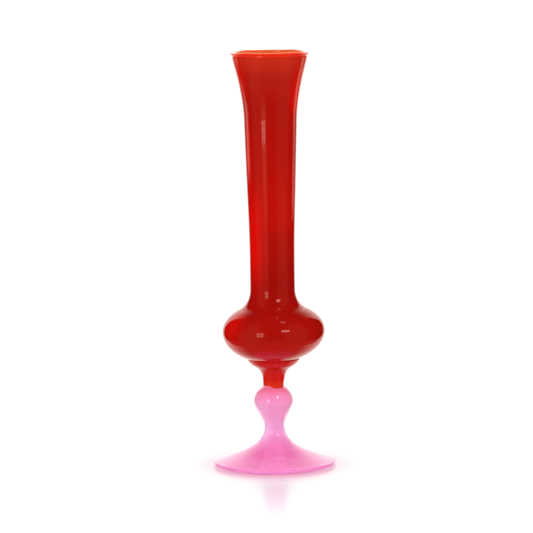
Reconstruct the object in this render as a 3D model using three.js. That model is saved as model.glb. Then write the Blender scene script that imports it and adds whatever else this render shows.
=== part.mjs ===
// A hand blown art glass vase: a red cased body with an orange lining and a wrapped lip, on a red
// stem dish, a pink knop and a pink foot.
//
// Millimetres, +Z up. The origin is the centre of the ring that the foot stands on. Every piece is
// turned round the vase's axis from a profile of (radius, height) points, and the pieces stack
// upwards from the foot, each on the seal where it was joined hot to the piece below.

import * as THREE from 'three';

// ---- Driving dimensions ----

const gap = 0.3;                // clearance between two pieces that were joined hot

// foot
const footRadius = 44.2;        // at the middle of the rounded rim
const footHeight = 28.2;        // table to waist
const rimThickness = 3.3;
const rimRoll = 1.6;            // how far the rim's rounding stands out from the flat ring
const ringWidth = 5.5;          // flat ring that the vase stands on
const kickHeight = 2.6;         // how far the underside is pushed up at the middle
const pontilRadius = 9;         // ground disc where the rod was broken off
const pontilDepth = 0.5;
const flankReach = 18.4;        // how far the foot's flank runs in straight from the rim
const flankSlope = 0.33;        // upwards for each millimetre in, at the rim
const flankDrop = 12.8;         // how far the flank runs straight down from the waist

// knop
const waistRadius = 7.1;
const knopRadius = 14.15;
const knopTaper = 19.4;         // waist to the widest point
const knopCrown = 11.8;         // widest point to the top of the full round
const knopSwell = 6.7;          // how far the side stays upright below the widest point
const waistSwell = 6.9;         // how far the side stays upright above the waist
const waistSeal = 1.8;          // depth of the round seal between knop and foot

// stem and dish
const stemRadius = 7.5;
const stemLength = 16.7;        // top of the knop to the bottom of the bulb
const stemRise = 16.5;          // how far the stem runs straight up from the knop
const stemSeal = 2.4;           // depth of the round seal between stem and knop
const dishRadius = 19.1;
const dishEdge = 1;             // height of the dish's upright edge
const dishDrop = 8.3;           // how far the dish's side drops below its edge before it turns in
const dishLean = 0.5;           // inwards for each millimetre down, under the edge

// body
const bulbRadius = 37;
const bulbLower = 23.2;         // widest point to the bottom of the bulb
const bulbUpper = 21.1;         // widest point to the top of the full round
const shoulderAngle = 50;       // degrees up the bulb's round, where the neck's fillet leaves it
const shoulderReach = 3;        // how far the fillet follows the round before it turns up
const neckRadius = 16.25;       // at the foot of the neck, its narrowest
const neckFoot = 30.2;          // bulb's widest point to the narrowest of the neck
const filletDrop = 8;           // how far the neck runs straight down into the fillet
const neckLength = 122.3;       // narrowest point to the start of the flare
const neckRise = 52.5;          // how far the neck runs straight up from its narrowest
const collarRadius = 19.1;      // where the flare starts
const collarLean = 0.029;       // outwards for each millimetre up, where the flare starts
const collarDrop = 93;          // how far that lean is held below the flare
const collarRise = 13.5;        // and above its start
const flareLength = 50;
const mouthRadius = 28;         // the outer wall's line carried up to the lip's top
const mouthLean = 0.236;        // outwards for each millimetre up, at the lip
const mouthDrop = 25;           // how far that lean is held below the lip
const casingWall = 1.1;
const liningWall = 1;

// lip
const lipHeight = 3.3;
const lipProud = 0.6;           // how far the lip stands out past the casing
const lipCrown = 1.7;           // height of the lip's rounded top
const lipCorner = 1.2;          // rounding of the lip's lower corners

// colours and polish
const redGlass = 0xb01812;
const orangeGlass = 0xe8602e;
const lipGlass = 0xd83a22;
const pinkGlass = 0xf27fbb;
const firePolish = 0.07;

// Facets round the axis, and along each stretch of a profile.
const around = 40;
const facets = {
  bulbBelow: 9,
  bulbAbove: 5,
  fillet: 5,
  neck: 3,
  flare: 6,
  lipCrown: 6,
  lipCorner: 2,
  dishFlank: 12,
  stemSeal: 4,
  knopSide: 9,
  knopCrown: 7,
  waistSeal: 3,
  footFlank: 12,
  footRim: 6,
  kick: 4,
};

// ---- Heights that follow ----

const waistZ = footHeight;
const knopZ = waistZ + knopTaper;
const joinZ = knopZ + knopCrown * Math.sqrt(1 - (stemRadius / knopRadius) ** 2);
const bulbBottomZ = joinZ + stemLength;
const bulbZ = bulbBottomZ + bulbLower;
const neckZ = bulbZ + neckFoot;
const collarZ = neckZ + neckLength;
const topZ = collarZ + flareLength;
const lipBaseZ = topZ - lipHeight;
const wallTopZ = lipBaseZ - gap;

// ---- Profile tools ----

const at = (radius, height) => new THREE.Vector2(radius, height);

// The points of a curve after its first one, which the stretch before it has already given.
const onward = (curve, count) => curve.getPoints(count).slice(1);

// Part of an ellipse from one angle to another, in degrees up from straight outwards.
function arc(middle, across, up, from, to) {
  const start = THREE.MathUtils.degToRad(from);
  const end = THREE.MathUtils.degToRad(to);
  return new THREE.EllipseCurve(middle.x, middle.y, across, up, start, end);
}

// A round hollow or, with a negative depth, a round dome: from its edge inwards to the axis.
function bowl(edge, depth, count) {
  const shares = Array.from({ length: count }, (_, step) => 1 - (step + 1) / count);
  return shares.map((share) => at(edge.x * share, edge.y - depth * (1 - share * share)));
}

// A profile that starts on the axis and runs upwards, moved towards the inside by a distance.
function inset(points, distance) {
  return points.map((point, index) => {
    const after = points[Math.min(index + 1, points.length - 1)];
    const before = index > 0 ? points[index - 1] : at(-after.x, after.y);
    const along = after.clone().sub(before).normalize();
    return at(point.x - along.y * distance, point.y + along.x * distance);
  });
}

// The start of a profile, up to where its x (radius) or y (height) first reaches a limit.
function upTo(points, key, limit) {
  const next = points.findIndex((point) => point[key] >= limit);
  const last = points[next - 1];
  const share = (limit - last[key]) / (points[next][key] - last[key]);
  return [...points.slice(0, next), last.clone().lerp(points[next], share)];
}

function turned(name, profile, color) {
  const material = new THREE.MeshStandardMaterial({ color, roughness: firePolish, metalness: 0 });
  const mesh = new THREE.Mesh(new THREE.LatheGeometry(profile, around), material);
  mesh.name = name;
  return mesh;
}

// ---- The body's outside line, which its wall, its lining, its lip and its dish all follow ----

function bodyLine() {
  const middle = at(0, bulbZ);
  const below = arc(middle, bulbRadius, bulbLower, -90, 0);
  const above = arc(middle, bulbRadius, bulbUpper, 0, shoulderAngle);
  const shoulder = above.getPoint(1);
  const narrowest = at(neckRadius, neckZ);
  const collar = at(collarRadius, collarZ);
  const fillet = new THREE.CubicBezierCurve(
    shoulder,
    above.getTangent(1).multiplyScalar(shoulderReach).add(shoulder),
    at(neckRadius, neckZ - filletDrop),
    narrowest,
  );
  const neck = new THREE.CubicBezierCurve(
    narrowest,
    at(neckRadius, neckZ + neckRise),
    at(collarRadius - collarLean * collarDrop, collarZ - collarDrop),
    collar,
  );
  const flare = new THREE.CubicBezierCurve(
    collar,
    at(collarRadius + collarLean * collarRise, collarZ + collarRise),
    at(mouthRadius - mouthLean * mouthDrop, topZ - mouthDrop),
    at(mouthRadius, topZ),
  );
  return [
    at(0, bulbBottomZ),
    ...onward(below, facets.bulbBelow),
    ...onward(above, facets.bulbAbove),
    ...onward(fillet, facets.fillet),
    ...onward(neck, facets.neck),
    ...onward(flare, facets.flare),
  ];
}

const outside = bodyLine();
const casingInside = inset(outside, casingWall);
const liningOutside = inset(outside, casingWall + gap);
const liningInside = inset(outside, casingWall + gap + liningWall);

// ---- Pieces ----

// A wall of the body, closed under the bulb and open at the top, where it is ground level.
function wallProfile(outer, inner) {
  return [...upTo(outer, 'y', wallTopZ), ...upTo(inner, 'y', wallTopZ).reverse()];
}

// The bead round the mouth: over both wall tops, flush with the lining and proud of the casing.
function lipProfile() {
  const outer = upTo(outside, 'y', wallTopZ).at(-1).x + lipProud;
  const inner = upTo(liningInside, 'y', wallTopZ).at(-1).x;
  const half = (outer - inner) / 2;
  const crown = arc(at(outer - half, topZ - lipCrown), half, lipCrown, 0, 180);
  const corner = (radius, from) => (
    arc(at(radius, lipBaseZ + lipCorner), lipCorner, lipCorner, from, from + 90)
  );
  return [
    ...corner(outer - lipCorner, -90).getPoints(facets.lipCorner),
    ...crown.getPoints(facets.lipCrown),
    ...corner(inner + lipCorner, 180).getPoints(facets.lipCorner),
    at(outer - lipCorner, lipBaseZ),
  ];
}

// A cup that follows the bulb's round, a thin upright edge, and a flank that draws in to the stem.
function stemDishProfile() {
  const cup = upTo(inset(outside, -gap), 'x', dishRadius);
  const edgeFoot = at(dishRadius, cup.at(-1).y - dishEdge);
  const stemFoot = at(stemRadius, joinZ);
  const flank = new THREE.CubicBezierCurve(
    stemFoot,
    at(stemRadius, joinZ + stemRise),
    at(edgeFoot.x - dishDrop * dishLean, edgeFoot.y - dishDrop),
    edgeFoot,
  );
  return [
    ...bowl(stemFoot, stemSeal, facets.stemSeal).reverse(),
    ...flank.getPoints(facets.dishFlank),
    ...cup.reverse(),
  ];
}

// A pear: round at the top, hollowed there for the stem's seal, and drawn down to the waist.
function knopProfile() {
  const waist = at(waistRadius, waistZ + gap / 2);
  const widest = at(knopRadius, knopZ);
  const side = new THREE.CubicBezierCurve(
    waist,
    at(waist.x, waist.y + waistSwell),
    at(widest.x, widest.y - knopSwell),
    widest,
  );
  const sealAngle = THREE.MathUtils.radToDeg(Math.acos(stemRadius / knopRadius));
  const crown = onward(arc(at(0, knopZ - gap), knopRadius, knopCrown, 0, sealAngle), facets.knopCrown);
  return [
    ...bowl(waist, waistSeal, facets.waistSeal).reverse(),
    ...side.getPoints(facets.knopSide),
    ...crown,
    ...bowl(crown.at(-1), stemSeal, facets.stemSeal),
  ];
}

// A cone that flares to a rounded rim, with a flat ring, a pushed-up underside and a ground disc.
function footProfile() {
  const ringOuter = footRadius - rimRoll;
  const ringInner = ringOuter - ringWidth;
  const kick = (radius) => at(radius, kickHeight * (1 - (radius / ringInner) ** 2));
  const kickStep = (ringInner - pontilRadius) / facets.kick;
  const underside = Array.from({ length: facets.kick }, (_, step) => kick(pontilRadius + step * kickStep));
  const pontilZ = kick(pontilRadius).y + pontilDepth;
  const rim = arc(at(ringOuter, rimThickness / 2), rimRoll, rimThickness / 2, -90, 90);
  const waist = at(waistRadius, waistZ - gap / 2);
  const flank = new THREE.CubicBezierCurve(
    at(ringOuter, rimThickness),
    at(ringOuter - flankReach, rimThickness + flankReach * flankSlope),
    at(waist.x, waist.y - flankDrop),
    waist,
  );
  return [
    at(0, pontilZ),
    at(pontilRadius, pontilZ),
    ...underside,
    at(ringInner, 0),
    ...rim.getPoints(facets.footRim),
    ...onward(flank, facets.footFlank),
    ...bowl(waist, waistSeal, facets.waistSeal),
  ];
}

// ---- The vase ----

// A profile's height runs along the turned shape's own Y, so the stack is stood up along Z.
const stack = new THREE.Group();
stack.rotation.x = Math.PI / 2;
stack.add(
  turned('foot', footProfile(), pinkGlass),
  turned('knop', knopProfile(), pinkGlass),
  turned('stem_dish', stemDishProfile(), redGlass),
  turned('body_casing', wallProfile(outside, casingInside), redGlass),
  turned('body_lining', wallProfile(liningOutside, liningInside), orangeGlass),
  turned('lip_wrap', lipProfile(), lipGlass),
);

const vase = new THREE.Group();
vase.add(stack);

export default vase;
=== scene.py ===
import math

import bmesh
import bpy
from mathutils import Matrix, Vector


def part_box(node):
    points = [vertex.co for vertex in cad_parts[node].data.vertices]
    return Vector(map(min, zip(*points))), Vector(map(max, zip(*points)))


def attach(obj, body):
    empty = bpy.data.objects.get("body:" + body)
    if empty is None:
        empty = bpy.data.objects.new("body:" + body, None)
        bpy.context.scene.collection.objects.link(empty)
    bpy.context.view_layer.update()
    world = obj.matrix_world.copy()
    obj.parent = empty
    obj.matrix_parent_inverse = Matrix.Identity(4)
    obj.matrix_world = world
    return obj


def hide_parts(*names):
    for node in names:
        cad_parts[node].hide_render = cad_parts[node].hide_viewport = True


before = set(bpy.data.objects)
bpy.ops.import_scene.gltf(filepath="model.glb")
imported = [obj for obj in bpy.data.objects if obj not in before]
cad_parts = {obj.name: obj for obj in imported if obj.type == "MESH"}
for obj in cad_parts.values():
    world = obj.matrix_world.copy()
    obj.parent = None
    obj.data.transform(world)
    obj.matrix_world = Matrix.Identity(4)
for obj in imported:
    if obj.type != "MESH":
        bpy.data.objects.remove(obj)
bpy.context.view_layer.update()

MM = 0.001
AROUND = 144          # facets round every turned piece
SMOOTH_BELOW = 38     # edges sharper than this many degrees stay crisp

# ---------------------------------------------------------------- sizes
# Read from the CAD nodes
FOOT_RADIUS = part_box("foot")[1].x
WAIST_HEIGHT = (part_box("foot")[1].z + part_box("knop")[0].z) / 2
BULB_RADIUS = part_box("body_casing")[1].x
BULB_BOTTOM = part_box("body_casing")[0].z
DISH_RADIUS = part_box("stem_dish")[1].x
VASE_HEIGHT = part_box("lip_wrap")[1].z

# Foot
RIM_THICK = 3.3 * MM
RIM_ROLL = 1.6 * MM
RING_WIDTH = 5.5 * MM
KICK_HEIGHT = 2.6 * MM
PONTIL_RADIUS = 9 * MM
PONTIL_DEPTH = 0.5 * MM
KICK_STEPS = 18
FLANK_REACH = 18.4 * MM
FLANK_SLOPE = 0.33
FLANK_DROP = 12.8 * MM

# Knop
WAIST_RADIUS = 7.1 * MM
KNOP_RADIUS = 14.15 * MM
KNOP_TAPER = 19.4 * MM
KNOP_CROWN = 12.9 * MM
KNOP_SWELL = 6.7 * MM
WAIST_SWELL = 6.9 * MM
CREEP = 0.9 * MM        # how far the pink glass climbs round the stem
CREEP_SPREAD = 1.3 * MM
CREEP_INSET = 0.1 * MM
KNOP_WIDEST = WAIST_HEIGHT + KNOP_TAPER
CROWN_STEPS = 52

# Stem and dish
STEM_RADIUS = 7.5 * MM
STEM_RISE = 16.5 * MM
DISH_EDGE = 0.4 * MM
DISH_SINK = 0.25 * MM   # how deep the cup of the dish is fused into the bulb
DISH_DROP = 8.3 * MM
DISH_LEAN = 0.5
LAP = 0.12 * MM         # how proud a lapped piece of glass sits on the one under it

# Bulb, neck and flare
BULB_STEPS = 30
BULB_LOWER = 23.2 * MM
BULB_UPPER = 21.1 * MM
SHOULDER_ANGLE = 50
SHOULDER_REACH = 3 * MM
NECK_RADIUS = 16.25 * MM
NECK_FOOT = 30.2 * MM
FILLET_DROP = 8 * MM
NECK_LENGTH = 122.3 * MM
NECK_RISE = 52.5 * MM
COLLAR_RADIUS = 19.1 * MM
COLLAR_LEAN = 0.029
COLLAR_DROP = 93 * MM
COLLAR_RISE = 13.5 * MM
MOUTH_RADIUS = 28 * MM
MOUTH_LEAN = 0.236
MOUTH_DROP = 25 * MM
CASING_WALL = 1.1 * MM
LINING_WALL = 1.0 * MM
GAP = 0.3 * MM
BULB_HEIGHT = BULB_BOTTOM + BULB_LOWER
NECK_START = BULB_HEIGHT + NECK_FOOT
COLLAR_HEIGHT = NECK_START + NECK_LENGTH

# Lip
LIP_HEIGHT = 3.3 * MM
LIP_TIP = 1.05 * MM      # how far the lip's edge stands out past the wall
LIP_INSIDE = 0.3 * MM
LIP_CROWN = 1.0 * MM
LIP_GROOVE = 0.45 * MM   # how far the groove under the lip goes in
WALL = CASING_WALL + GAP + LINING_WALL
WALL_TOP = VASE_HEIGHT - LIP_HEIGHT

# Hand-made irregularities: how far the glass has sagged, shifted or leaned
RIM_SAG_SIDES = 1.7 * MM
RIM_SAG_BACK = 1.45 * MM
RIM_SAG_FRONT = 0.7 * MM
RIM_DEPTH = 8 * MM       # the part of the walls that is taken hold of at the rim
RIM_GRIP = 0.94          # the cosine of how far round the rim each hold reaches
BULB_SHIFT = 0.36 * MM
BULB_LEAN = 0.45 * MM
KNOP_SHIFT = 0.4 * MM
CONE_SWELL = 0.6 * MM


# ---------------------------------------------------------------- drawing lines
def point(radius, height):
    return Vector((radius, height))


def bezier(start, start_pull, end_pull, end, steps):
    """Points on a cubic curve, without its first one."""
    made = []
    for i in range(1, steps + 1):
        t = i / steps
        s = 1 - t
        made.append(s**3 * start + 3 * s * t * (s * start_pull + t * end_pull) + t**3 * end)
    return made


def ellipse(centre, wide, tall, start, end, steps):
    """Points on an ellipse from one angle to another, in degrees above the level."""
    made = []
    for i in range(steps + 1):
        a = math.radians(start + (end - start) * i / steps)
        made.append(centre + point(wide * math.cos(a), tall * math.sin(a)))
    return made


def inset(line, depth):
    """The same line, moved to its left as it is drawn, which is towards the axis on the way up."""
    made = []
    for i, here in enumerate(line):
        along = line[min(i + 1, len(line) - 1)] - line[max(i - 1, 0)]
        along.normalize()
        moved = here + depth * point(-along.y, along.x)
        made.append(point(max(moved.x, 0), moved.y))
    if line[0].x == 0:
        made[0].x = 0
    return made


def up_to(line, height):
    """The part of a rising line below a height, ending on that height."""
    made = [p for p in line if p.y < height]
    after = line[len(made)]
    before = made[-1]
    share = (height - before.y) / (after.y - before.y)
    return made + [before.lerp(after, share)]


# ---------------------------------------------------------------- turning pieces
def turn(name, line):
    """Draw a half section by extruding one corner from point to point, then spin it round the axis."""
    bpy.ops.object.select_all(action="DESELECT")
    bpy.ops.mesh.primitive_plane_add(size=MM, location=(line[0].x, 0, line[0].y))
    piece = bpy.context.object
    piece.name = name
    piece.data.name = name
    bpy.ops.object.transform_apply(location=True, rotation=True, scale=True)
    bpy.ops.object.mode_set(mode="EDIT")
    bpy.ops.mesh.select_all(action="SELECT")
    bpy.ops.mesh.merge(type="CENTER")
    for before, after in zip(line, line[1:]):
        step = after - before
        bpy.ops.mesh.extrude_region_move(TRANSFORM_OT_translate={"value": (step.x, 0, step.y)})
    bpy.ops.mesh.select_all(action="SELECT")
    bpy.ops.mesh.spin(steps=AROUND, angle=2 * math.pi, center=(0, 0, 0), axis=(0, 0, 1))
    bpy.ops.mesh.select_all(action="SELECT")
    bpy.ops.mesh.remove_doubles(threshold=0.01 * MM)
    bpy.ops.mesh.normals_make_consistent(inside=False)
    bpy.ops.object.mode_set(mode="OBJECT")
    bpy.ops.object.shade_smooth_by_angle(angle=math.radians(SMOOTH_BELOW))
    return piece


def foot_line():
    rim_centre = point(FOOT_RADIUS - RIM_ROLL, RIM_THICK / 2)
    ring_inside = rim_centre.x - RING_WIDTH
    kick = []
    for i in range(KICK_STEPS + 1):
        radius = PONTIL_RADIUS + (ring_inside - PONTIL_RADIUS) * i / KICK_STEPS
        kick.append(point(radius, KICK_HEIGHT * (1 - (radius / ring_inside) ** 2)))
    ground = kick[0].y + PONTIL_DEPTH
    pontil = [point(0, ground), point(PONTIL_RADIUS - PONTIL_DEPTH, ground)]
    rim = ellipse(rim_centre, RIM_ROLL, RIM_THICK / 2, -90, 90, 14)
    top = point(WAIST_RADIUS, WAIST_HEIGHT)
    shoulder = rim[-1] + point(-FLANK_REACH, FLANK_REACH * FLANK_SLOPE)
    flank = bezier(rim[-1], shoulder, top - point(0, FLANK_DROP), top, 34)
    return pontil + kick + rim + flank + [point(0, WAIST_HEIGHT)]


def knop_line():
    waist = point(WAIST_RADIUS, WAIST_HEIGHT)
    widest = point(KNOP_RADIUS, KNOP_WIDEST)
    side = bezier(waist, waist + point(0, WAIST_SWELL), widest - point(0, KNOP_SWELL), widest, 20)
    crown = ellipse(point(0, KNOP_WIDEST - GAP), KNOP_RADIUS, KNOP_CROWN, 0, 90, CROWN_STEPS)
    shoulder = [p for p in crown if p.x > STEM_RADIUS + CREEP_SPREAD]
    along = (shoulder[-1] - shoulder[-2]).normalized()
    under_stem = [p for p in crown if p.x > STEM_RADIUS][-1]
    top = point(STEM_RADIUS - CREEP_INSET, under_stem.y + CREEP)
    creep = bezier(shoulder[-1], shoulder[-1] + CREEP * along, top - point(0, CREEP), top, 8)
    return [point(0, WAIST_HEIGHT), waist] + side + shoulder[1:] + creep + [point(0, top.y)]


def body_line():
    """The outside of the bulb, neck and flare, from the axis up to the rim."""
    lower = ellipse(point(0, BULB_HEIGHT), BULB_RADIUS, BULB_LOWER, -90, 0, BULB_STEPS)
    lower[0].x = 0  # exactly on the axis
    upper = ellipse(point(0, BULB_HEIGHT), BULB_RADIUS, BULB_UPPER, 0, SHOULDER_ANGLE, 18)
    angle = math.radians(SHOULDER_ANGLE)
    along = point(-BULB_RADIUS * math.sin(angle), BULB_UPPER * math.cos(angle)).normalized()
    neck_start = point(NECK_RADIUS, NECK_START)
    fillet_pull = upper[-1] + SHOULDER_REACH * along
    fillet = bezier(upper[-1], fillet_pull, neck_start - point(0, FILLET_DROP), neck_start, 12)
    collar = point(COLLAR_RADIUS, COLLAR_HEIGHT)
    collar_pull = collar - COLLAR_DROP * point(COLLAR_LEAN, 1)
    neck = bezier(neck_start, neck_start + point(0, NECK_RISE), collar_pull, collar, 40)
    mouth = point(MOUTH_RADIUS, VASE_HEIGHT)
    flare_pull = collar + COLLAR_RISE * point(COLLAR_LEAN, 1)
    flare = bezier(collar, flare_pull, mouth - MOUTH_DROP * point(MOUTH_LEAN, 1), mouth, 24)
    return lower + upper[1:] + fillet + neck + flare


def casing_line(outside):
    inside = up_to(inset(outside, CASING_WALL), WALL_TOP)
    return up_to(outside, WALL_TOP) + inside[::-1]


def lining_line(outside):
    skin = up_to(inset(outside, CASING_WALL + GAP), WALL_TOP)
    bore = up_to(inset(outside, WALL), WALL_TOP)
    return skin + bore[::-1]


def lip_line(outside):
    """A wrap of glass over both walls: a groove, a thin edge that stands out, and a low crown."""
    wall_outside = up_to(outside, WALL_TOP)[-1]
    wall_inside = up_to(inset(outside, WALL), WALL_TOP)[-1]
    groove = wall_outside - point(LIP_GROOVE, LAP)
    edge = point(wall_outside.x + LIP_TIP, VASE_HEIGHT - LIP_CROWN)
    inner = point(wall_inside.x - LIP_INSIDE, edge.y)
    crown = ellipse((edge + inner) / 2, (edge.x - inner.x) / 2, LIP_CROWN, 0, 180, 18)
    groove_top = groove + point(0, LIP_CROWN)
    edge_pull = edge - point(0, LIP_CROWN * 0.8)
    underside = bezier(groove_top, groove_top + point(0, LIP_CROWN), edge_pull, edge, 10)
    inner_foot = wall_inside - point(LIP_INSIDE, LAP)
    return [groove, groove_top] + underside + crown[1:] + [inner_foot, groove]


def stem_line(outside):
    """Up the stem from the knop's crown, out to the dish's edge, and down its cup under the bulb."""
    crown_centre = point(0, KNOP_WIDEST - GAP)
    crown = ellipse(crown_centre, KNOP_RADIUS + LAP, KNOP_CROWN + LAP, 90, 0, CROWN_STEPS)
    under = [p for p in crown if p.x < STEM_RADIUS]
    under[0].x = 0
    start = point(STEM_RADIUS, under[-1].y)
    bulb_bottom = outside[:BULB_STEPS + 1]
    cup = [p for p in inset(bulb_bottom, DISH_SINK) if p.x < DISH_RADIUS]
    edge = point(DISH_RADIUS, cup[-1].y - DISH_EDGE)
    flank = bezier(start, start + point(0, STEM_RISE), edge - DISH_DROP * point(DISH_LEAN, 1), edge, 30)
    rolled = bezier(edge, edge + point(0, DISH_EDGE / 2), cup[-1] + point(DISH_EDGE / 2, 0), cup[-1], 6)
    return under + [start] + flank + rolled + cup[-2::-1]


# ---------------------------------------------------------------- hand-made irregularities
def pick(piece, wanted):
    """In edit mode, select the corners of a piece that pass a test of their place."""
    mesh = bmesh.from_edit_mesh(piece.data)
    for corner in mesh.verts:
        corner.select_set(wanted(corner.co))
    mesh.select_flush_mode()
    bmesh.update_edit_mesh(piece.data)


def open_together(pieces, wanted):
    bpy.ops.object.select_all(action="DESELECT")
    for piece in pieces:
        piece.select_set(True)
    bpy.context.view_layer.objects.active = pieces[0]
    bpy.ops.object.mode_set(mode="EDIT")
    bpy.ops.mesh.select_all(action="DESELECT")
    for piece in pieces:
        pick(piece, wanted)


def nudge(pieces, wanted, shift, reach):
    """Push chosen corners a little, and draw their neighbours after them with a soft falloff."""
    open_together(pieces, wanted)
    bpy.ops.transform.translate(
        value=shift, use_proportional_edit=True, proportional_edit_falloff="SMOOTH", proportional_size=reach
    )
    bpy.ops.object.mode_set(mode="OBJECT")


outside = body_line()
foot = turn("foot_glass", foot_line())
knop = turn("knop_glass", knop_line())
stem = turn("stem_dish_glass", stem_line(outside))
casing = turn("body_casing_glass", casing_line(outside))
lining = turn("body_lining_glass", lining_line(outside))
lip = turn("lip_wrap_glass", lip_line(outside))

walls = [casing, lining, lip]
bulb = [casing, lining]
at_rim = VASE_HEIGHT - RIM_DEPTH
sides, back, front = (
    lambda p: p.z > at_rim and abs(p.x) > RIM_GRIP * p.xy.length,
    lambda p: p.z > at_rim and p.y > RIM_GRIP * p.xy.length,
    lambda p: p.z > at_rim and -p.y > RIM_GRIP * p.xy.length,
)
nudge(walls, sides, (0, 0, -RIM_SAG_SIDES), 18 * MM)
nudge(walls, back, (0, 0, -RIM_SAG_BACK), 26 * MM)
nudge(walls, front, (0, 0, -RIM_SAG_FRONT), 30 * MM)
nudge(bulb, lambda p: abs(p.z - BULB_HEIGHT) < 5 * MM, (BULB_SHIFT, 0, 0), 20 * MM)
nudge(bulb, lambda p: p.x > 0.85 * BULB_RADIUS, (0, 0, BULB_LEAN), 30 * MM)
nudge(bulb, lambda p: -p.x > 0.85 * BULB_RADIUS, (0, 0, -BULB_LEAN), 30 * MM)
nudge([knop], lambda p: abs(p.z - KNOP_WIDEST) < 4 * MM, (-KNOP_SHIFT, 0, 0), 18 * MM)
nudge([foot], lambda p: p.x > 4 * MM and 18 * MM < p.z < 24 * MM, (CONE_SWELL, 0, 0), 9 * MM)


def rim_of_stem(turned, reach):
    """The part of the stem's lower rim within an angle of a direction, counted right of the front."""
    way = Vector((math.sin(math.radians(turned)), -math.cos(math.radians(turned))))

    def wanted(p):
        out = Vector((p.x, p.y))
        low = p.z < KNOP_WIDEST + KNOP_CROWN and out.length > 0.97 * STEM_RADIUS
        return low and out.length < 1.1 * STEM_RADIUS and out.angle(way) < math.radians(reach)
    return wanted


# The wavy edge where the red stem has run on the pink knop, with one drip at the front
nudge([stem], rim_of_stem(25, 12), (0.55 * MM, -1.2 * MM, -0.75 * MM), 6 * MM)
nudge([stem], rim_of_stem(-40, 10), (0, 0, 0.75 * MM), 4 * MM)
nudge([stem], rim_of_stem(88, 12), (-0.15 * MM, 0, -0.3 * MM), 4 * MM)
nudge([stem], rim_of_stem(-120, 20), (-0.3 * MM, 0.5 * MM, -0.5 * MM), 6 * MM)
nudge([stem], rim_of_stem(155, 15), (0, 0, 0.6 * MM), 5 * MM)


# ---------------------------------------------------------------- materials
def put(tree, kind, inputs=None, **settings):
    """Add a node, give it its own settings, and fill or link its sockets."""
    made = tree.nodes.new(kind)
    for key, value in settings.items():
        setattr(made, key, value)
    for key, value in (inputs or {}).items():
        if isinstance(value, bpy.types.NodeSocket):
            tree.links.new(value, made.inputs[key])
        else:
            made.inputs[key].default_value = value
    return made


def calc(tree, kind, first, second=0.0):
    """One sum on two values or sockets."""
    return put(tree, "ShaderNodeMath", {0: first, 1: second}, operation=kind).outputs[0]


def fade(tree, value, at_zero, at_one):
    """0 at one value, 1 at the other, with a soft start and end."""
    made = put(
        tree, "ShaderNodeMapRange", {"Value": value, "From Min": at_zero, "From Max": at_one},
        interpolation_type="SMOOTHSTEP",
    )
    return made.outputs["Result"]


def blend(tree, share, below, above):
    made = put(tree, "ShaderNodeMix", {0: share, 6: below, 7: above}, data_type="RGBA")
    return made.outputs[2]


def from_srgb(red, green, blue):
    def one(v):
        v = v / 255
        return v / 12.92 if v <= 0.04045 else ((v + 0.055) / 1.055) ** 2.4
    return (one(red), one(green), one(blue), 1)


def ramp(tree, value, stops):
    made = put(tree, "ShaderNodeValToRGB", {"Fac": value})
    made.color_ramp.interpolation = "EASE"
    marks = made.color_ramp.elements
    while len(marks) < len(stops):
        marks.new(0.5)
    for mark, (place, colour) in zip(marks, stops):
        mark.position = place
        mark.color = colour
    return made.outputs["Color"]


def glass(name):
    """A new glass material: its tree, its shader, and the corner's place in the object."""
    made = bpy.data.materials.new(name)
    made.use_nodes = True
    tree = made.node_tree
    shader = tree.nodes["Principled BSDF"]
    shader.inputs["IOR"].default_value = 1.5
    shader.inputs["Roughness"].default_value = 0.04
    place = put(tree, "ShaderNodeTexCoord").outputs["Object"]
    return made, tree, shader, place


def hand_worked(tree, shader, place, depth):
    """Slow swells in a hand worked surface, drawn out along its height."""
    drawn = put(tree, "ShaderNodeMapping", {"Vector": place, "Scale": (1, 1, 0.35)}).outputs[0]
    slow = {"Vector": drawn, "Scale": 60, "Detail": 1.5, "Roughness": 0.4}
    swell = put(tree, "ShaderNodeTexNoise", slow).outputs["Fac"]
    bump = put(tree, "ShaderNodeBump", {"Height": swell, "Strength": 1, "Distance": depth})
    tree.links.new(bump.outputs["Normal"], shader.inputs["Normal"])


def brightest(tree, patches):
    """The strongest of several patches at each place."""
    made = patches[0]
    for patch in patches[1:]:
        made = calc(tree, "MAXIMUM", made, patch)
    return made


def glow(tree, axes, turned, raised, wide, tall, strength=1.0):
    """A soft patch of painted light on the wall, at an angle from the front and a height. It is 0 outside
    the patch.
    """
    angle = calc(tree, "ARCTAN2", axes["X"], calc(tree, "MULTIPLY", axes["Y"], -1))
    aside = calc(tree, "ABSOLUTE", calc(tree, "SUBTRACT", angle, math.radians(turned)))
    along = calc(tree, "ABSOLUTE", calc(tree, "SUBTRACT", axes["Z"], raised))
    across = fade(tree, aside, math.radians(wide), 0)
    patch = calc(tree, "MULTIPLY", across, fade(tree, along, tall, tall * 0.1))
    return calc(tree, "MULTIPLY", patch, strength)


WARM = (1, 0.55, 0.34, 1)      # red and orange glass warms what it reflects
# Painted light: the brighter red of the glow patches on the red glass.
PAINTED_GLOW_RED = from_srgb(212, 12, 7)
DEEP_RED = from_srgb(120, 6, 6)
PALE_PINK = from_srgb(252, 170, 212)
# Painted light: the pale pink of the lit patches round the waist.
PAINTED_LIT_PINK = from_srgb(253, 188, 228)
ORANGE_DEEP = from_srgb(224, 86, 26)
ORANGE_PALE = from_srgb(238, 108, 44)


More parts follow.
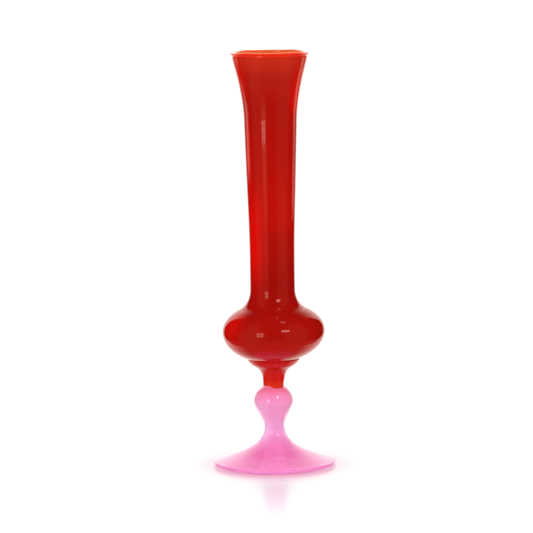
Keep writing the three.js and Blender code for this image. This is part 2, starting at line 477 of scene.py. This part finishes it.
def red_glass():
    """Dense red glass: deepest along the neck, with painted light that makes it brighter along parts of the
    left side and at the right of the flare.
    """
    made, tree, shader, place = glass("red_cased_glass")
    axes = put(tree, "ShaderNodeSeparateXYZ", {"Vector": place}).outputs
    share_up = calc(tree, "DIVIDE", axes["Z"], VASE_HEIGHT)
    # Colours by height: the glass's own colour, with some painted light and shade in it, such as a lighter
    # underside to the bulb.
    by_height = ramp(tree, share_up, [
        (0.19, from_srgb(218, 46, 26)),
        (0.215, from_srgb(208, 26, 20)),
        (0.26, from_srgb(202, 24, 18)),
        (0.285, from_srgb(184, 20, 14)),
        (0.33, from_srgb(157, 14, 8)),
        (0.45, from_srgb(150, 12, 7)),
        (0.54, from_srgb(161, 14, 8)),
        (0.60, from_srgb(177, 15, 8)),
        (0.78, from_srgb(163, 13, 7)),
        (0.86, from_srgb(158, 14, 8)),
        (0.93, from_srgb(164, 22, 13)),
        (0.985, from_srgb(184, 36, 18)),
    ])
    # Painted light: brighter red patches along parts of the left side and at the right of the flare.
    painted_glow = brightest(tree, [
        glow(tree, axes, -60, 103 * MM, 30, 17 * MM, 0.7),
        glow(tree, axes, -54, 164 * MM, 50, 50 * MM),
        glow(tree, axes, -61, 222 * MM, 17, 60 * MM, 0.7),
        glow(tree, axes, -66, 280 * MM, 24, 26 * MM, 0.7),
        glow(tree, axes, 64, 270 * MM, 34, 28 * MM, 0.8),
    ])
    streaks = put(tree, "ShaderNodeMapping", {"Vector": place, "Scale": (1, 1, 0.12)}).outputs[0]
    grain = {"Vector": streaks, "Scale": 90, "Detail": 3, "Roughness": 0.55}
    cloud = put(tree, "ShaderNodeTexNoise", grain)
    uneven = fade(tree, cloud.outputs["Fac"], 0.25, 0.75)
    colour = blend(tree, painted_glow, by_height, PAINTED_GLOW_RED)
    colour = blend(tree, calc(tree, "MULTIPLY", uneven, 0.12), colour, DEEP_RED)
    tree.links.new(colour, shader.inputs["Base Color"])
    shader.inputs["Specular Tint"].default_value = WARM
    hand_worked(tree, shader, place, 0.05 * MM)
    return made


def pink_glass(name, coat):
    """Pink opal glass: pale at the waist, deeper towards the red join, and with painted patches of light
    round the waist, on the foot and the knop.
    """
    made, tree, shader, place = glass(name)
    axes = put(tree, "ShaderNodeSeparateXYZ", {"Vector": place}).outputs
    share_up = calc(tree, "DIVIDE", axes["Z"], VASE_HEIGHT)
    # Colours by height: the glass's own colour, with some painted light and shade in it, such as a lighter
    # band at the very bottom of the rim.
    by_height = ramp(tree, share_up, [
        (0.003, from_srgb(252, 152, 212)),
        (0.012, from_srgb(233, 112, 172)),
        (0.036, from_srgb(228, 99, 161)),
        (0.062, from_srgb(233, 126, 178)),
        (0.085, from_srgb(240, 150, 198)),
        (0.105, from_srgb(242, 164, 206)),
        (0.124, from_srgb(242, 162, 204)),
        (0.148, from_srgb(242, 149, 193)),
        (0.170, from_srgb(242, 131, 174)),
        (0.192, from_srgb(242, 105, 137)),
    ])
    grain = {"Vector": place, "Scale": 140, "Detail": 3, "Roughness": 0.6}
    cloud = put(tree, "ShaderNodeTexNoise", grain)
    uneven = fade(tree, cloud.outputs["Fac"], 0.3, 0.75)
    colour = blend(tree, calc(tree, "MULTIPLY", uneven, 0.15), by_height, PALE_PINK)
    # Painted light: pale lit patches either side of the waist.
    painted_lit_patches = brightest(tree, [
        glow(tree, axes, -58, 31 * MM, 55, 21 * MM),
        glow(tree, axes, 66, 27 * MM, 26, 14 * MM),
    ])
    colour = blend(tree, painted_lit_patches, colour, PAINTED_LIT_PINK)
    tree.links.new(colour, shader.inputs["Base Color"])
    shader.inputs["Coat Weight"].default_value = coat
    shader.inputs["Coat Roughness"].default_value = 0.02
    shader.inputs["Sheen Weight"].default_value = 1.0
    shader.inputs["Sheen Roughness"].default_value = 0.35
    hand_worked(tree, shader, place, 0.04 * MM)
    return made


def orange_glass():
    """The orange lining, a little uneven."""
    made, tree, shader, place = glass("orange_lining_glass")
    cloud = put(tree, "ShaderNodeTexNoise", {"Vector": place, "Scale": 70, "Detail": 3})
    colour = blend(tree, cloud.outputs["Fac"], ORANGE_DEEP, ORANGE_PALE)
    tree.links.new(colour, shader.inputs["Base Color"])
    shader.inputs["Specular Tint"].default_value = WARM
    hand_worked(tree, shader, place, 0.04 * MM)
    return made


def lip_glass():
    """Red outside, pale salmon on the crown where it faces up, orange inside like the lining."""
    made, tree, shader, place = glass("lip_red_and_orange_glass")
    facing = put(tree, "ShaderNodeTexCoord").outputs["Normal"]
    up = put(tree, "ShaderNodeSeparateXYZ", {"Vector": facing}).outputs["Z"]
    level = put(tree, "ShaderNodeVectorMath", {0: place, 1: (1, 1, 0)}, operation="MULTIPLY").outputs[0]
    radial = put(tree, "ShaderNodeVectorMath", {0: level}, operation="NORMALIZE").outputs[0]
    outward = put(tree, "ShaderNodeVectorMath", {0: facing, 1: radial}, operation="DOT_PRODUCT")
    cloud = put(tree, "ShaderNodeTexNoise", {"Vector": place, "Scale": 90, "Detail": 3}).outputs["Fac"]
    inside = blend(tree, cloud, ORANGE_DEEP, ORANGE_PALE)
    crown = blend(tree, cloud, from_srgb(236, 92, 44), from_srgb(243, 113, 60))
    side = blend(tree, fade(tree, outward.outputs["Value"], -0.15, 0.15), inside, from_srgb(222, 42, 22))
    colour = blend(tree, fade(tree, up, 0.35, 0.8), side, crown)
    tree.links.new(colour, shader.inputs["Base Color"])
    shader.inputs["Specular Tint"].default_value = WARM
    shader.inputs["Roughness"].default_value = 0.12
    hand_worked(tree, shader, place, 0.03 * MM)
    return made


def finish_piece(piece, material, node):
    piece.data.materials.clear()
    piece.data.materials.append(material)
    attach(piece, "root")
    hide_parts(node)


red = red_glass()
foot_pink = pink_glass("foot_pink_opal_glass", 0.0)
knop_pink = pink_glass("knop_pink_opal_glass", 0.35)
orange = orange_glass()
lip_colour = lip_glass()
finish_piece(foot, foot_pink, "foot")
finish_piece(knop, knop_pink, "knop")
finish_piece(stem, red, "stem_dish")
finish_piece(casing, red, "body_casing")
finish_piece(lining, orange, "body_lining")
finish_piece(lip, lip_colour, "lip_wrap")


# ---------------------------------------------------------------- floor, light and camera
LAMP_COLOUR = (0.8, 1.0, 1.35)
CARD_COLOUR = (1, 0.76, 0.6, 1)
LAMP_DISTANCE = 1.6
CARD_DISTANCE = 0.5
FLAG_DISTANCE = 0.15
FLOOR_RADIUS = 0.9
FLOOR_GLOSS = 0.5
POOL_OUTSIDE = 38 * MM   # how far past the foot the painted pink light reaches in front
POOL_INSIDE = 12 * MM    # how far inside the foot it is full
POOL_NARROWER = 1.22     # the painted pool of light is wider from front to back than from side to side
SOFT_LIGHT = 1.16
SWEEP_LIGHT = 1.35
TABLE_LIGHT = 0.15
ROOM_LIGHT = 0.24


def pale_floor():
    """Glossy near the foot and matt further off, and a painted pink pool of light where the foot throws its
    light.
    """
    bpy.ops.object.select_all(action="DESELECT")
    bpy.ops.mesh.primitive_circle_add(vertices=128, radius=FLOOR_RADIUS, fill_type="NGON")
    floor = bpy.context.object
    floor.name = "floor"
    made = bpy.data.materials.new("pale_floor")
    made.use_nodes = True
    tree = made.node_tree
    shader = tree.nodes["Principled BSDF"]
    place = put(tree, "ShaderNodeTexCoord").outputs["Object"]
    away = put(tree, "ShaderNodeVectorMath", {0: place}, operation="LENGTH").outputs["Value"]
    narrowed = {0: place, 1: (POOL_NARROWER, 1, 1)}
    narrow = put(tree, "ShaderNodeVectorMath", narrowed, operation="MULTIPLY").outputs[0]
    pooled = put(tree, "ShaderNodeVectorMath", {0: narrow}, operation="LENGTH").outputs["Value"]
    # Painted light: a pink pool on the floor round the foot.
    painted_pink_pool = fade(tree, pooled, FOOT_RADIUS + POOL_OUTSIDE, FOOT_RADIUS - POOL_INSIDE)
    colour = blend(tree, painted_pink_pool, (1, 1, 1, 1), (1, 0.36, 0.55, 1))
    glossy = calc(tree, "MULTIPLY", fade(tree, away, 0.27, 0.10), FLOOR_GLOSS)
    tree.links.new(colour, shader.inputs["Emission Color"])
    # Less glow where the floor is glossy, so near the foot its reflection carries the white; seen from
    # above this is a painted soft shade round the foot.
    tree.links.new(calc(tree, "SUBTRACT", 1.0, glossy), shader.inputs["Emission Strength"])
    tree.links.new(glossy, shader.inputs["Specular IOR Level"])
    shader.inputs["Base Color"].default_value = (0.14, 0.14, 0.14, 1)
    shader.inputs["Roughness"].default_value = 0.20
    shader.inputs["IOR"].default_value = 1.6
    floor.data.materials.append(made)
    floor.visible_glossy = False
    floor.visible_shadow = False


def studio_surround():
    """White all round for soft light. In reflections: a white sweep behind, a dim table, a dark room."""
    world = bpy.data.worlds.new("studio")
    bpy.context.scene.world = world
    world.use_nodes = True
    tree = world.node_tree
    tree.nodes.clear()
    way = put(tree, "ShaderNodeTexCoord").outputs["Generated"]
    axes = put(tree, "ShaderNodeSeparateXYZ", {"Vector": way}).outputs
    height = axes["Z"]
    wide = calc(tree, "ABSOLUTE", axes["X"])
    spread = calc(tree, "MULTIPLY", fade(tree, height, -0.18, -0.42), 0.18)
    inside = calc(tree, "SUBTRACT", calc(tree, "ADD", spread, 0.52), wide)
    sweep = calc(tree, "MULTIPLY", fade(tree, inside, -0.04, 0.04), fade(tree, axes["Y"], 0.0, 0.25))
    upright = calc(tree, "MULTIPLY", fade(tree, height, 0.80, 0.38), fade(tree, height, -0.97, -0.50))
    sweep = calc(tree, "MULTIPLY", calc(tree, "MULTIPLY", sweep, upright), SWEEP_LIGHT)
    table = calc(tree, "MULTIPLY", fade(tree, height, -0.34, -0.52), TABLE_LIGHT)
    room = calc(tree, "MULTIPLY", fade(tree, wide, 0.22, 0.62), fade(tree, axes["Y"], 0.05, -0.30))
    room = calc(tree, "MULTIPLY", room, ROOM_LIGHT)
    seen = calc(tree, "MAXIMUM", sweep, calc(tree, "MAXIMUM", table, room))
    path = put(tree, "ShaderNodeLightPath").outputs
    mirrored = put(tree, "ShaderNodeBackground", {"Color": (1, 0.93, 0.88, 1), "Strength": seen})
    soft = put(tree, "ShaderNodeBackground", {"Color": (1, 1, 1, 1), "Strength": SOFT_LIGHT})
    choice = {0: path["Is Glossy Ray"], 1: soft.outputs[0], 2: mirrored.outputs[0]}
    both = put(tree, "ShaderNodeMixShader", choice)
    put(tree, "ShaderNodeOutputWorld", {"Surface": both.outputs[0]})
    world.cycles.sampling_method = "NONE"


def lamp(name, turned, raised, wide, tall, radiance):
    """A soft box that faces the vase, from an angle right of the camera and one above the level."""
    a, e = math.radians(turned), math.radians(raised)
    way = Vector((math.sin(a) * math.cos(e), -math.cos(a) * math.cos(e), math.sin(e)))
    data = bpy.data.lights.new(name, "AREA")
    data.shape = "RECTANGLE"
    data.size, data.size_y = wide, tall
    data.energy = radiance * math.pi * wide * tall
    data.color = LAMP_COLOUR
    made = bpy.data.objects.new(name, data)
    made.location = Vector((0, 0, VASE_HEIGHT * 0.4)) + way * LAMP_DISTANCE
    made.rotation_euler = way.to_track_quat("Z", "Y").to_euler()
    made.visible_camera = False
    bpy.context.scene.collection.objects.link(made)


def upright_card(name, turned, distance, wide, low, high, divisions):
    """A card that stands facing the vase, seen only in reflections. Returns its material's tree."""
    bpy.ops.object.select_all(action="DESELECT")
    bpy.ops.mesh.primitive_grid_add(x_subdivisions=divisions, y_subdivisions=divisions, size=1)
    card = bpy.context.object
    card.name = name
    a = math.radians(turned)
    bpy.ops.transform.resize(value=(wide, high - low, 1))
    bpy.ops.object.transform_apply(location=True, rotation=True, scale=True)
    card.rotation_euler = (math.pi / 2, 0, a)
    card.location = (distance * math.sin(a), -distance * math.cos(a), (low + high) / 2)
    card.visible_camera = False
    card.visible_diffuse = False
    card.visible_shadow = False
    made = bpy.data.materials.new(name)
    made.use_nodes = True
    card.data.materials.append(made)
    return made.node_tree


def soft_card(name, turned, distance, wide, heights, strength):
    """A card of soft light. It fades sideways, and between its first two and its last two heights."""
    low, low_full, high_full, high = heights
    tree = upright_card(name, turned, distance, wide, low, high, 8)
    tree.nodes.clear()
    place = put(tree, "ShaderNodeTexCoord").outputs["Object"]
    axes = put(tree, "ShaderNodeSeparateXYZ", {"Vector": place}).outputs
    aside = calc(tree, "ABSOLUTE", axes["X"])
    across = fade(tree, aside, wide / 2, wide * 0.06)
    middle = (low + high) / 2
    from_below = fade(tree, axes["Y"], low - middle, low_full - middle)
    from_above = fade(tree, axes["Y"], high - middle, high_full - middle)
    bright = calc(tree, "MULTIPLY", across, calc(tree, "MULTIPLY", from_below, from_above))
    bright = calc(tree, "MULTIPLY", bright, strength)
    light = put(tree, "ShaderNodeEmission", {"Color": CARD_COLOUR, "Strength": bright}).outputs[0]
    clear = put(tree, "ShaderNodeBsdfTransparent").outputs[0]
    both = put(tree, "ShaderNodeAddShader", {0: light, 1: clear}).outputs[0]
    put(tree, "ShaderNodeOutputMaterial", {"Surface": both})


def black_flag(name, turned, distance, wide, low, high):
    """A black card that keeps the soft cards' reflections off the bulb and the base of the neck."""
    shader = upright_card(name, turned, distance, wide, low, high, 2).nodes["Principled BSDF"]
    shader.inputs["Base Color"].default_value = (0, 0, 0, 1)
    shader.inputs["Specular IOR Level"].default_value = 0


def camera():
    """A long lens, a little above the mouth, turned a little on its own axis."""
    away, raised, turned = 2.490, math.radians(7.0), math.radians(0.7586)
    target = Vector((-4.17 * MM, 0, 144.2 * MM))
    data = bpy.data.cameras.new("camera")
    data.sensor_width = 36
    data.lens = 233.9
    data.clip_start, data.clip_end = 0.1, 20
    made = bpy.data.objects.new("camera", data)
    bpy.context.scene.collection.objects.link(made)
    place = target + away * Vector((0, -math.cos(raised), math.sin(raised)))
    look = Matrix.Rotation(math.pi / 2 - raised, 4, "X") @ Matrix.Rotation(-turned, 4, "Z")
    made.matrix_world = Matrix.Translation(place) @ look
    bpy.context.scene.camera = made


pale_floor()
studio_surround()
for column in (-1, 1):
    for row in (-1, 1):
        lamp(f"window_pane_{column}_{row}", -31 + 4.2 * column, 8 + 6.8 * row, 0.17, 0.30, 4.0)
lamp("right_lamp", 28.5, 31, 0.44, 0.34, 6.5)
lamp("overhead_lamp", 62, 75, 0.22, 0.22, 1.8)
soft_card("front_left_card", -28.5, CARD_DISTANCE, 0.26, (0.05, 0.14, 0.19, 0.27), 0.95)
soft_card("left_card", -121, CARD_DISTANCE, 0.30, (0.135, 0.165, 0.195, 0.215), 1.5)
soft_card("right_card", 125, CARD_DISTANCE, 0.26, (0.10, 0.13, 0.195, 0.215), 1.25)
black_flag("left_flag", -113, FLAG_DISTANCE, 0.10, 0.106, 0.158)
black_flag("right_flag", 117, FLAG_DISTANCE, 0.12, 0.104, 0.158)
camera()
bpy.context.scene.view_settings.view_transform = "Standard"
